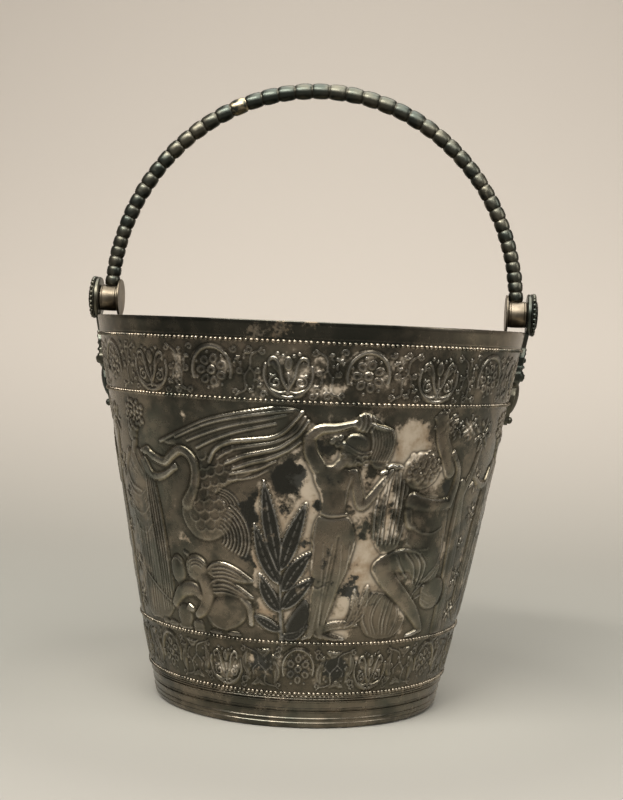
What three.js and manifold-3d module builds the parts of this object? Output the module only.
// A silver situla: a tapering bucket with chased bands, and a beaded bail handle that swings on
// two axles. Millimetres, +Z up. It stands on z = 0 with its axis on Z, and the hinge axis runs
// along X, so the handle folds down to the front (-Y) and to the back (+Y).
import * as THREE from "three";
import { mergeVertices } from "three/addons/utils/BufferGeometryUtils.js";
import Module from "manifold-3d";

const wasm = await Module();
wasm.setup();

// Bucket: a raised silver wall, a soldered lip ring and a soldered floor
const bodyHeight = 228;
const mouthRadius = 130;
const kneeHeight = 40; // the wall runs straight from here to the mouth
const kneeRadius = 94.4;
const footRadius = 85;
const footCorner = 2.5;
const wallThickness = 1.8;
const flangeWidth = 8; // the foot's turned-in flange, which the floor lies on
const flangeThickness = 2.6;
const floorThickness = 2;
const floorBossRadius = 14; // the centring boss that the lathe leaves in the floor
const floorBossHeight = 0.8;
const lipHeight = 2.6;
const lipThickness = 3.4;
const lipRounding = 0.6;

// Bands on the wall, counted from the mouth down and from the foot up
const rimBandHeight = 11;
const upperBandHeight = 32.3;
const footBandHeight = 20.6;
const lowerBandHeight = 29.7;
const beadLineRadius = 1.3;
const footLineDepth = 0.5;
const footLineWidth = 1.6;
const footLineShares = [0.28, 0.5, 0.72]; // of the foot band's height

// Relief on the wall: low domes for the main forms of the figures and of the bands' flowers
const figureRelief = 2.1; // how far they stand out of the wall
const flowerRelief = 1.2;
const reliefShoulderShares = [0.74, 0.72]; // of a form's half size and of its height
const upperFlowerCount = 18;
const lowerFlowerCount = 14;
const flowerWidth = 14;
const flowerHeight = 17;
const upperFlowerTurnShare = 0.0515; // of a full turn, from the front to the right
const lowerFlowerTurnShare = 0.0116;
// Each form of a figure: how far it lies from the figure's middle across and up, its half length and
// half width, all as shares of the body's height, and its lean in degrees
const figureShares = {
  robedWoman: [
    [0, 0.745, 0.046, 0.043, 0],
    [-0.01, 0.625, 0.065, 0.055, 90],
    [0, 0.42, 0.17, 0.075, 90],
    [0.075, 0.615, 0.058, 0.018, 5],
  ],
  swan: [
    [-0.025, 0.52, 0.075, 0.065, -40],
    [-0.05, 0.625, 0.06, 0.02, 80],
    [-0.12, 0.66, 0.065, 0.02, 5],
    [0.03, 0.748, 0.18, 0.028, 16],
    [0.105, 0.7, 0.13, 0.04, 28],
  ],
  child: [
    [-0.02, 0.405, 0.035, 0.035, 0],
    [-0.085, 0.373, 0.038, 0.038, 0],
    [0.08, 0.395, 0.075, 0.03, -8],
    [0.005, 0.335, 0.065, 0.028, 75],
    [0.07, 0.303, 0.062, 0.044, 12],
    [-0.06, 0.3, 0.062, 0.03, 25],
  ],
  plant: [
    [-0.03, 0.51, 0.115, 0.022, 103],
    [0.03, 0.485, 0.095, 0.02, 71],
    [-0.035, 0.345, 0.052, 0.019, 124],
    [0.045, 0.35, 0.06, 0.019, 45],
    [0, 0.31, 0.09, 0.01, 90],
  ],
  bather: [
    [0.027, 0.705, 0.039, 0.037, 0],
    [0, 0.625, 0.06, 0.05, 90],
    [0, 0.49, 0.075, 0.054, 90],
    [-0.03, 0.335, 0.105, 0.022, 86],
    [0.01, 0.34, 0.105, 0.023, 82],
    [-0.065, 0.7, 0.05, 0.018, 105],
    [-0.01, 0.768, 0.062, 0.017, 10],
    [0.085, 0.6, 0.062, 0.016, 50],
    [0.145, 0.56, 0.105, 0.034, 92],
  ],
  kneeler: [
    [-0.03, 0.658, 0.052, 0.052, 0],
    [0.03, 0.51, 0.095, 0.08, 80],
    [-0.005, 0.425, 0.105, 0.036, -8],
    [-0.01, 0.33, 0.125, 0.024, -45],
    [-0.055, 0.29, 0.058, 0.052, 60],
  ],
  tree: [
    [0, 0.41, 0.185, 0.027, 90],
    [0.035, 0.725, 0.046, 0.043, 0],
    [-0.1, 0.77, 0.042, 0.036, 0],
    [0.05, 0.59, 0.038, 0.036, 0],
  ],
};
// Where the figures stand: each one's name, its turn as a share of a full turn, from the front to the
// right, and 1, or -1 where it is mirrored
const friezeShares = [
  ["robedWoman", -0.145, 1],
  ["swan", -0.065, 1],
  ["child", -0.081, 1],
  ["plant", -0.006, 1],
  ["bather", 0.035, 1],
  ["kneeler", 0.113, 1],
  ["tree", 0.162, 1],
  ["robedWoman", 0.217, -1],
  ["plant", 0.301, 1],
  ["tree", 0.353, -1],
  ["kneeler", 0.402, -1],
  ["bather", 0.48, -1],
  ["plant", 0.54, -1],
  ["swan", 0.599, -1],
  ["child", 0.615, -1],
  ["robedWoman", 0.679, -1],
  ["kneeler", 0.745, 1],
  ["tree", 0.8, 1],
];

// Hinge: the handle's knuckle turns on an axle between a flat head inside and the ear outside
const hingeRise = 10.8; // axis above the mouth
const earGap = 0.4; // from the mouth out to the ear's inner face
const earRadius = 12.6;
const earThickness = 2.2;
const earEdge = 0.7;
const washerBeadCount = 20;
const washerBeadRadius = 1.8;
const washerRadius = 11.2; // the circle of bead centres
const washerThickness = 2.7;
const washerEdge = 0.7;
const capRadius = 8.2;
const capHeight = 1.2;
const capDomeShares = [[1, 0], [1, 0.3], [0.8, 0.7], [0.4, 0.95], [0, 1]]; // of its radius and height
const knuckleRadius = 8;
const knuckleLength = 11;
const knuckleEdge = 0.5;
const axleRadius = 3.2;
const axleHeadRadius = 11.6;
const axleHeadThickness = 1.3;

// Escutcheon: the leaf-shaped plate under each ear, soldered and riveted to the wall
const plateLength = 57;
const plateWidth = 24;
const plateThickness = 2.6;
const plateEdge = 0.5;
const plateTop = 5; // how far the neck runs up into the ear
const plateRoot = 3; // how far the blank runs into the wall before it is cut to fit
const scrollRadius = 4.4;
const scrollHeight = 4.6;
const scrollAcrossShare = 0.33; // of the plate's width
const scrollDownShare = 0.46; // of the plate's length
const leafBulgeHeight = 3.6;
const leafBulgeWidth = 11;
const leafBulgeShares = [0.54, 0.88]; // where the bulge starts and ends, down the plate
// Half outline, as shares of the plate's width across and of its length down
const plateOutlineShares = [
  [0.2, 0],
  [0.19, 0.16],
  [0.3, 0.26],
  [0.28, 0.36],
  [0.46, 0.42],
  [0.46, 0.52],
  [0.24, 0.57],
  [0.31, 0.68],
  [0.25, 0.8],
  [0.11, 0.91],
  [0.13, 0.96],
];
const rivetRadius = 1.4;
const rivetHeadRadius = 2.4;
// A ball with a flat foot: each point's radius and its height over the seat, in head radii
const rivetHeadShares = [[0.85, 0], [1, 0.45], [0.85, 0.9], [0.45, 1.2], [0, 1.3]];
const rivetTailRadius = 2.8;
const rivetTailHeight = 0.9;
const upperRivetShare = 0.29; // of the plate's length, down from the mouth
const lowerRivetShare = 0.945;

// Handle: a cast rod of barrel-shaped beads, longest and thickest at the top of the arch
const handleRise = 130.4; // the rod's centre above the hinge axis, at the top
const rodInset = 0.8; // the rod's foot, inside the knuckle's middle
const rodFootHeight = 4; // above the hinge axis, inside what the knuckle cuts away
const rodRadius = 5;
const rodFootShare = 0.93; // of the rod's radius, at the feet
const beadCount = 47;
const beadFootShare = 0.57; // of the longest bead's length, at the feet
const beadGrooveShare = 0.86; // of the bead's radius, in the grooves
const beadShoulderShares = [0.15, 0.85]; // of the bead's length

// Clearances
const seatGap = 0.3; // between pieces that touch
const runGap = 0.3; // between pieces that turn on each other
const overrun = 1; // how far a cutter runs past what it cuts

// How finely the round forms are faceted
const bodyFacets = 56;
const figureFacets = 6;
const flowerFacets = 5;
const rodFacets = 10;
const turnedFacets = 20;
const rivetFacets = 8;
const lobeFacets = 4;
const splineFacets = 2;

// Places worked out from the sizes above
const wallSlope = (mouthRadius - kneeRadius) / (bodyHeight - kneeHeight);
const wallTilt = Math.atan(wallSlope);
const hingeHeight = bodyHeight + hingeRise;
const earInnerX = mouthRadius + earGap;
const knuckleOuterX = earInnerX - runGap;
const knuckleInnerX = knuckleOuterX - knuckleLength;
const knuckleCentreX = (knuckleOuterX + knuckleInnerX) / 2;
const washerInnerX = earInnerX + earThickness + seatGap;
const capInnerX = washerInnerX + washerThickness + seatGap;
const handleHalfSpan = knuckleCentreX - rodInset;
const wallTop = bodyHeight - lipHeight - seatGap;
const floorBottom = flangeThickness + seatGap;
const rivetDowns = { upper: upperRivetShare * plateLength, lower: lowerRivetShare * plateLength };

const silver = new THREE.MeshStandardMaterial({ color: 0x5a564c, roughness: 0.42, metalness: 0.9 });
const darkSilver = new THREE.MeshStandardMaterial({ color: 0x343730, roughness: 0.34, metalness: 0.9 });
const brownSilver = new THREE.MeshStandardMaterial({ color: 0x6e6555, roughness: 0.4, metalness: 0.9 });

// The wall's outer radius at a height, without bands or lines
function wallRadius(z) {
  if (z >= kneeHeight) return kneeRadius + (z - kneeHeight) * wallSlope;
  return footRadius + ((kneeRadius - footRadius) * z) / kneeHeight;
}

// A three.js geometry as a solid, with shared corners welded
function solidOf(geometry) {
  const bare = new THREE.BufferGeometry();
  const flat = geometry.index ? geometry.toNonIndexed() : geometry;
  bare.setAttribute("position", flat.getAttribute("position"));
  const welded = mergeVertices(bare);
  const corners = welded.index.array;
  const faces = [];
  for (let i = 0; i < corners.length; i += 3) {
    const [a, b, c] = [corners[i], corners[i + 1], corners[i + 2]];
    if (a !== b && b !== c && c !== a) faces.push(a, b, c);
  }
  return new wasm.Manifold(
    new wasm.Mesh({
      numProp: 3,
      vertProperties: welded.attributes.position.array,
      triVerts: new Uint32Array(faces),
    }),
  );
}

// A solid as a three.js geometry
function geometryOf(solid) {
  const mesh = solid.getMesh();
  const geometry = new THREE.BufferGeometry();
  geometry.setAttribute("position", new THREE.BufferAttribute(mesh.vertProperties.slice(), mesh.numProp));
  geometry.setIndex(new THREE.BufferAttribute(mesh.triVerts.slice(), 1));
  geometry.computeVertexNormals();
  return geometry;
}

// A turned form about Z, from [radius, height] pairs that run up the outside
function turned(profile, facets) {
  const points = profile.map(([radius, height]) => new THREE.Vector2(radius, height));
  return new THREE.LatheGeometry(points, facets).rotateX(Math.PI / 2);
}

// A turned form about X, from [radius, distance along X] pairs
function turnedAlongX(profile, facets) {
  return turned(profile, facets).rotateY(Math.PI / 2);
}

// A plain cylinder along X between two distances
function barAlongX(radius, fromX, toX, facets) {
  const profile = [[0, fromX], [radius, fromX], [radius, toX], [0, toX]];
  return turnedAlongX(profile, facets);
}

// The outside of a bead line at a height, as [radius, height] pairs that run up the wall
function beadLine(z, proud) {
  const reach = beadLineRadius + proud;
  return [
    [wallRadius(z - reach) + proud, z - reach],
    [wallRadius(z) + reach, z],
    [wallRadius(z + reach) + proud, z + reach],
  ];
}

// The wall's outside from foot to top, as [radius, height] pairs, moved out by a distance
function wallOutside(proud) {
  const corner = wallRadius(footCorner);
  const lines = footLineShares.map((share) => share * footBandHeight);
  const footLines = lines.flatMap((z) => [
    [wallRadius(z - footLineWidth / 2) + proud, z - footLineWidth / 2],
    [wallRadius(z) + proud - footLineDepth, z],
    [wallRadius(z + footLineWidth / 2) + proud, z + footLineWidth / 2],
  ]);
  const upperLine = bodyHeight - rimBandHeight;
  return [
    [corner + proud - footCorner, 0],
    [corner + proud - footCorner * (1 - Math.SQRT1_2), footCorner * (1 - Math.SQRT1_2)],
    [corner + proud, footCorner],
    ...footLines,
    ...beadLine(footBandHeight, proud),
    [wallRadius(kneeHeight) + proud, kneeHeight],
    ...beadLine(footBandHeight + lowerBandHeight, proud),
    ...beadLine(upperLine - upperBandHeight, proud),
    ...beadLine(upperLine, proud),
    [wallRadius(wallTop) + proud, wallTop],
  ];
}

// A low dome laid round the wall: its place as an angle from the front and a height, its half length,
// half width and lean, and how far it stands out. Its root runs into the wall.
function wallForm(angle, up, halfLength, halfWidth, lean, relief, facets) {
  const root = wallThickness / 2;
  const [shoulderReach, shoulderRise] = reliefShoulderShares;
  const form = turned([[0, -root], [1, -root], [shoulderReach, shoulderRise * relief], [0, relief]], facets);
  form.scale(halfLength, halfWidth, 1).rotateZ(lean);
  const place = form.getAttribute("position");
  for (let i = 0; i < place.count; i++) {
    const height = up + place.getY(i);
    const turn = angle + place.getX(i) / wallRadius(up);
    const radius = wallRadius(height) + place.getZ(i);
    place.setXYZ(i, radius * Math.sin(turn), -radius * Math.cos(turn), height);
  }
  return solidOf(form);
}

// The frieze's figures, in one solid
function figures() {
  const forms = friezeShares.flatMap(([name, turnShare, way]) =>
    figureShares[name].map(([across, up, halfLength, halfWidth, lean]) => {
      const height = up * bodyHeight;
      const angle = turnShare * 2 * Math.PI + (way * across * bodyHeight) / wallRadius(height);
      const tilt = THREE.MathUtils.degToRad(way * lean);
      return wallForm(
        angle,
        height,
        halfLength * bodyHeight,
        halfWidth * bodyHeight,
        tilt,
        figureRelief,
        figureFacets,
      );
    }),
  );
  return forms.reduce((joined, form) => joined.add(form));
}

// A band's flowers, in one solid. The places under the plates stay bare.
function flowers(count, turnShare, up) {
  const plateReach = (plateWidth + flowerWidth) / 2 / wallRadius(up);
  const forms = [];
  for (let i = 0; i < count; i++) {
    const angle = (turnShare + i / count) * 2 * Math.PI;
    const underPlate = up > bodyHeight - plateLength && Math.abs(Math.cos(angle)) < Math.sin(plateReach);
    if (underPlate) continue;
    forms.push(wallForm(angle, up, flowerWidth / 2, flowerHeight / 2, 0, flowerRelief, flowerFacets));
  }
  return forms.reduce((joined, form) => joined.add(form));
}

// The raised wall, with its turned-in foot
function vesselWall() {
  const innerRadius = (z) => wallRadius(z) - wallThickness;
  const profile = [
    ...wallOutside(0),
    [innerRadius(wallTop), wallTop],
    [innerRadius(kneeHeight), kneeHeight],
    [innerRadius(flangeThickness), flangeThickness],
    [footRadius - flangeWidth, flangeThickness],
    [footRadius - flangeWidth, 0],
  ];
  profile.push(profile[0]);
  const upperMiddle = bodyHeight - rimBandHeight - upperBandHeight / 2;
  const lowerMiddle = footBandHeight + lowerBandHeight / 2;
  let wall = solidOf(turned(profile, bodyFacets))
    .add(figures())
    .add(flowers(upperFlowerCount, upperFlowerTurnShare, upperMiddle))
    .add(flowers(lowerFlowerCount, lowerFlowerTurnShare, lowerMiddle));
  for (const hole of rivetHoles()) wall = wall.subtract(hole);
  return geometryOf(wall);
}

// The lip ring, soldered on the wall's edge, flush outside and thick inside
function lipRing() {
  const top = bodyHeight;
  const bottom = bodyHeight - lipHeight;
  const outer = (z) => wallRadius(z);
  const profile = [
    [outer(bottom), bottom],
    [outer(top - lipRounding), top - lipRounding],
    [outer(top) - lipRounding, top],
    [outer(top) - lipThickness + lipRounding, top],
    [outer(top) - lipThickness, top - lipRounding],
    [outer(top) - lipThickness, bottom + lipRounding],
    [outer(bottom) - lipThickness + lipRounding, bottom],
  ];
  profile.push(profile[0]);
  return turned(profile, bodyFacets);
}

// The floor disc, dropped in from the mouth to lie on the foot's flange
function floorDisc() {
  const top = floorBottom + floorThickness;
  const bossTop = top + floorBossHeight;
  const edge = wallRadius(floorBottom) - wallThickness - seatGap;
  const profile = [
    [0, floorBottom],
    [edge, floorBottom],
    [edge, top],
    [floorBossRadius, top],
    [floorBossRadius - floorBossHeight, bossTop],
    [0, bossTop],
  ];
  return turned(profile, bodyFacets);
}

// The plate's own frame: x across the wall, y up along it and z out of it, from the mouth's edge
function plateFrame() {
  const out = new THREE.Vector3(Math.cos(wallTilt), 0, -Math.sin(wallTilt));
  const up = new THREE.Vector3(Math.sin(wallTilt), 0, Math.cos(wallTilt));
  const across = new THREE.Vector3().crossVectors(up, out);
  return new THREE.Matrix4().makeBasis(across, up, out).setPosition(mouthRadius, 0, bodyHeight);
}

// A rivet's hole through plate and wall, in the plate's frame
function rivetHole(down) {
  const length = plateThickness + wallThickness + rivetHeadRadius;
  const hole = new THREE.CylinderGeometry(
    rivetRadius + seatGap,
    rivetRadius + seatGap,
    length * 2,
    rivetFacets,
  );
  return hole.rotateX(Math.PI / 2).translate(0, -down, 0);
}

// Every rivet hole, on both sides of the bucket
function rivetHoles() {
  const holes = [];
  for (const turn of [0, Math.PI]) {
    for (const down of Object.values(rivetDowns)) {
      const hole = rivetHole(down).applyMatrix4(plateFrame());
      holes.push(solidOf(hole.rotateZ(turn)));
    }
  }
  return holes;
}

// The bucket's outside as a filled form, a seat's gap larger, that cuts the plate's back to fit
function wallCutter() {
  const rise = hingeRise + earRadius + overrun;
  const profile = [
    [0, 0],
    ...wallOutside(seatGap),
    [wallRadius(bodyHeight) + seatGap, bodyHeight],
    [earInnerX, bodyHeight + seatGap],
    [earInnerX, bodyHeight + rise],
    [0, bodyHeight + rise],
  ];
  return solidOf(turned(profile, bodyFacets));
}

// The plate's outline, down one side and up the other
function plateOutline() {
  const side = plateOutlineShares.map(
    ([across, down]) => new THREE.Vector2(across * plateWidth, -down * plateLength),
  );
  const tip = new THREE.Vector2(0, -plateLength);
  const mirrored = side.map((point) => new THREE.Vector2(-point.x, point.y)).reverse();
  const shape = new THREE.Shape();
  shape.moveTo(-side[0].x, plateTop);
  shape.lineTo(-side[0].x, 0);
  shape.splineThru([...mirrored].reverse().slice(1).concat([tip]));
  shape.splineThru([...side].reverse());
  shape.lineTo(side[0].x, plateTop);
  return shape;
}

// Ear disc, neck, scrolls and leaf in one casting, cut to fit the wall
function escutcheon() {
  const blank = new THREE.ExtrudeGeometry(plateOutline(), {
    depth: plateThickness + plateRoot - plateEdge,
    bevelThickness: plateEdge,
    bevelSize: plateEdge,
    bevelOffset: -plateEdge,
    bevelSegments: 1,
    curveSegments: splineFacets,
  });
  blank.translate(0, 0, -plateRoot);
  const parts = [solidOf(blank)];
  for (const side of [-1, 1]) {
    const scroll = new THREE.SphereGeometry(scrollRadius, turnedFacets / 2, turnedFacets / 4);
    scroll.scale(1, 1, scrollHeight / scrollRadius);
    scroll.translate(
      side * scrollAcrossShare * plateWidth,
      -scrollDownShare * plateLength,
      plateThickness,
    );
    parts.push(solidOf(scroll));
  }
  const [leafStart, leafEnd] = leafBulgeShares.map((share) => share * plateLength);
  const bulge = new THREE.SphereGeometry(leafBulgeWidth / 2, turnedFacets / 2, turnedFacets / 2);
  bulge.scale(1, (leafEnd - leafStart) / leafBulgeWidth, (2 * leafBulgeHeight) / leafBulgeWidth);
  bulge.translate(0, -(leafStart + leafEnd) / 2, plateThickness);
  parts.push(solidOf(bulge));
  let plate = parts.reduce((joined, part) => joined.add(part));
  for (const down of Object.values(rivetDowns)) plate = plate.subtract(solidOf(rivetHole(down)));
  const placed = solidOf(geometryOf(plate).applyMatrix4(plateFrame()));
  const earOuterX = earInnerX + earThickness;
  const disc = turnedAlongX(
    [
      [0, earInnerX],
      [earRadius - earEdge, earInnerX],
      [earRadius, earInnerX + earEdge],
      [earRadius, earOuterX - earEdge],
      [earRadius - earEdge, earOuterX],
      [0, earOuterX],
    ],
    turnedFacets,
  ).translate(0, 0, hingeHeight);
  const bore = barAlongX(
    axleRadius + seatGap,
    earInnerX - overrun,
    earOuterX + overrun,
    turnedFacets,
  ).translate(0, 0, hingeHeight);
  const flat = barAlongX(
    earRadius * 2,
    earOuterX,
    earOuterX + plateThickness * 2,
    turnedFacets,
  ).translate(0, 0, hingeHeight + earRadius);
  return geometryOf(
    placed.add(solidOf(disc)).subtract(solidOf(flat)).subtract(wallCutter()).subtract(solidOf(bore)),
  );
}

// A rivet with a round head outside and a flat clenched tail inside, in the plate's frame
function rivet(down) {
  const wallInside = -wallThickness;
  const seat = plateThickness + seatGap;
  const profile = [
    [0, wallInside - seatGap - rivetTailHeight],
    [rivetTailRadius, wallInside - seatGap - rivetTailHeight],
    [rivetTailRadius, wallInside - seatGap],
    [rivetRadius, wallInside - seatGap],
    [rivetRadius, seat],
    ...rivetHeadShares.map(([out, rise]) => [rivetHeadRadius * out, seat + rivetHeadRadius * rise]),
  ];
  return turned(profile, rivetFacets).translate(0, -down, 0).applyMatrix4(plateFrame());
}

// The ring of beads between ear and cap: a lobed disc with rounded edges
function beadedWasher() {
  const outline = new THREE.Shape();
  const steps = washerBeadCount * lobeFacets;
  for (let i = 0; i < steps; i++) {
    const turn = (i / steps) * 2 * Math.PI;
    const lobe = Math.abs(Math.cos((turn * washerBeadCount) / 2));
    const radius = washerRadius - washerEdge + lobe * washerBeadRadius;
    const point = [radius * Math.cos(turn), radius * Math.sin(turn)];
    if (i === 0) outline.moveTo(...point);
    else outline.lineTo(...point);
  }
  const bore = new THREE.Path();
  bore.absarc(0, 0, axleRadius + seatGap + washerEdge, 0, 2 * Math.PI, true);
  outline.holes.push(bore);
  const washer = new THREE.ExtrudeGeometry(outline, {
    depth: washerThickness - 2 * washerEdge,
    bevelThickness: washerEdge,
    bevelSize: washerEdge,
    bevelSegments: 1,
    curveSegments: turnedFacets / 2,
  });
  return washer.rotateY(Math.PI / 2).translate(washerInnerX + washerEdge, 0, hingeHeight);
}

// The domed cap over the axle's end
function axleCap() {
  const profile = [
    [0, capInnerX],
    ...capDomeShares.map(([out, rise]) => [capRadius * out, capInnerX + capHeight * rise]),
  ];
  return turnedAlongX(profile, turnedFacets).translate(0, 0, hingeHeight);
}

// The axle: a flat head inside the bucket's mouth and a shaft that ends under the cap
function axle() {
  const headOuterX = knuckleInnerX - runGap;
  const headInnerX = headOuterX - axleHeadThickness;
  const profile = [
    [0, headInnerX],
    [axleHeadRadius, headInnerX],
    [axleHeadRadius, headOuterX],
    [axleRadius, headOuterX],
    [axleRadius, capInnerX - seatGap],
    [0, capInnerX - seatGap],
  ];
  return turnedAlongX(profile, turnedFacets).translate(0, 0, hingeHeight);
}

// The handle's knuckle: a barrel with a bore for the axle
function knuckle() {
  const bore = axleRadius + runGap;
  const profile = [
    [bore, knuckleInnerX],
    [knuckleRadius - knuckleEdge, knuckleInnerX],
    [knuckleRadius, knuckleInnerX + knuckleEdge],
    [knuckleRadius, knuckleOuterX - knuckleEdge],
    [knuckleRadius - knuckleEdge, knuckleOuterX],
    [bore, knuckleOuterX],
    [bore, knuckleInnerX],
  ];
  return turnedAlongX(profile, turnedFacets).translate(0, 0, hingeHeight);
}

// The beaded rod, turned straight and then bent along the arch, with its feet cut to the knuckles
function handleRod() {
  const arch = new THREE.EllipseCurve(0, hingeHeight, handleHalfSpan, handleRise, 0, Math.PI);
  const archLength = arch.getLength();
  const swell = (share) => Math.sin(Math.PI * share) ** 2;
  const weights = [];
  for (let i = 0; i < beadCount; i++) {
    weights.push(beadFootShare + (1 - beadFootShare) * swell((i + 1 / 2) / beadCount));
  }
  const rodLength = archLength - 2 * rodFootHeight;
  const unit = rodLength / weights.reduce((sum, weight) => sum + weight);
  const radiusAt = (along) =>
    rodRadius * (rodFootShare + (1 - rodFootShare) * swell(along / archLength));
  const profile = [[0, rodFootHeight]];
  let start = rodFootHeight;
  for (const weight of weights) {
    const length = weight * unit;
    profile.push([radiusAt(start) * beadGrooveShare, start]);
    for (const share of beadShoulderShares) {
      const along = start + share * length;
      profile.push([radiusAt(along), along]);
    }
    start += length;
  }
  profile.push([radiusAt(start) * beadGrooveShare, start], [0, start]);
  const rod = turned(profile, rodFacets);
  const place = rod.getAttribute("position");
  for (let i = 0; i < place.count; i++) {
    const share = place.getZ(i) / archLength;
    const centre = arch.getPointAt(share);
    const tangent = arch.getTangentAt(share);
    const outward = new THREE.Vector2(tangent.y, -tangent.x);
    const across = place.getX(i);
    place.setXYZ(i, centre.x + outward.x * across, place.getY(i), centre.y + outward.y * across);
  }
  let solid = solidOf(rod);
  for (const side of [-1, 1]) {
    const middle = side * knuckleCentreX;
    const cutter = barAlongX(
      knuckleRadius + seatGap,
      middle - knuckleLength,
      middle + knuckleLength,
      turnedFacets,
    );
    solid = solid.subtract(solidOf(cutter.translate(0, 0, hingeHeight)));
  }
  return geometryOf(solid);
}

function piece(name, geometry, material) {
  const mesh = new THREE.Mesh(geometry, material);
  mesh.name = name;
  return mesh;
}

// What holds the handle on one side; the left side is the right one turned half round
function hingeSide(side) {
  const group = new THREE.Group();
  group.add(
    piece(`${side}_escutcheon`, escutcheon(), darkSilver),
    piece(`${side}_beaded_washer`, beadedWasher(), darkSilver),
    piece(`${side}_axle_cap`, axleCap(), darkSilver),
    piece(`${side}_axle`, axle(), brownSilver),
    piece(`${side}_knuckle`, knuckle(), brownSilver),
  );
  for (const [place, down] of Object.entries(rivetDowns)) {
    group.add(piece(`${side}_${place}_rivet`, rivet(down), darkSilver));
  }
  group.rotation.z = side === "left" ? Math.PI : 0;
  return group;
}

const situla = new THREE.Group();
situla.add(
  piece("vessel_wall", vesselWall(), silver),
  piece("lip_ring", lipRing(), silver),
  piece("floor_disc", floorDisc(), silver),
  hingeSide("left"),
  hingeSide("right"),
  piece("handle_rod", handleRod(), darkSilver),
);

export default situla;
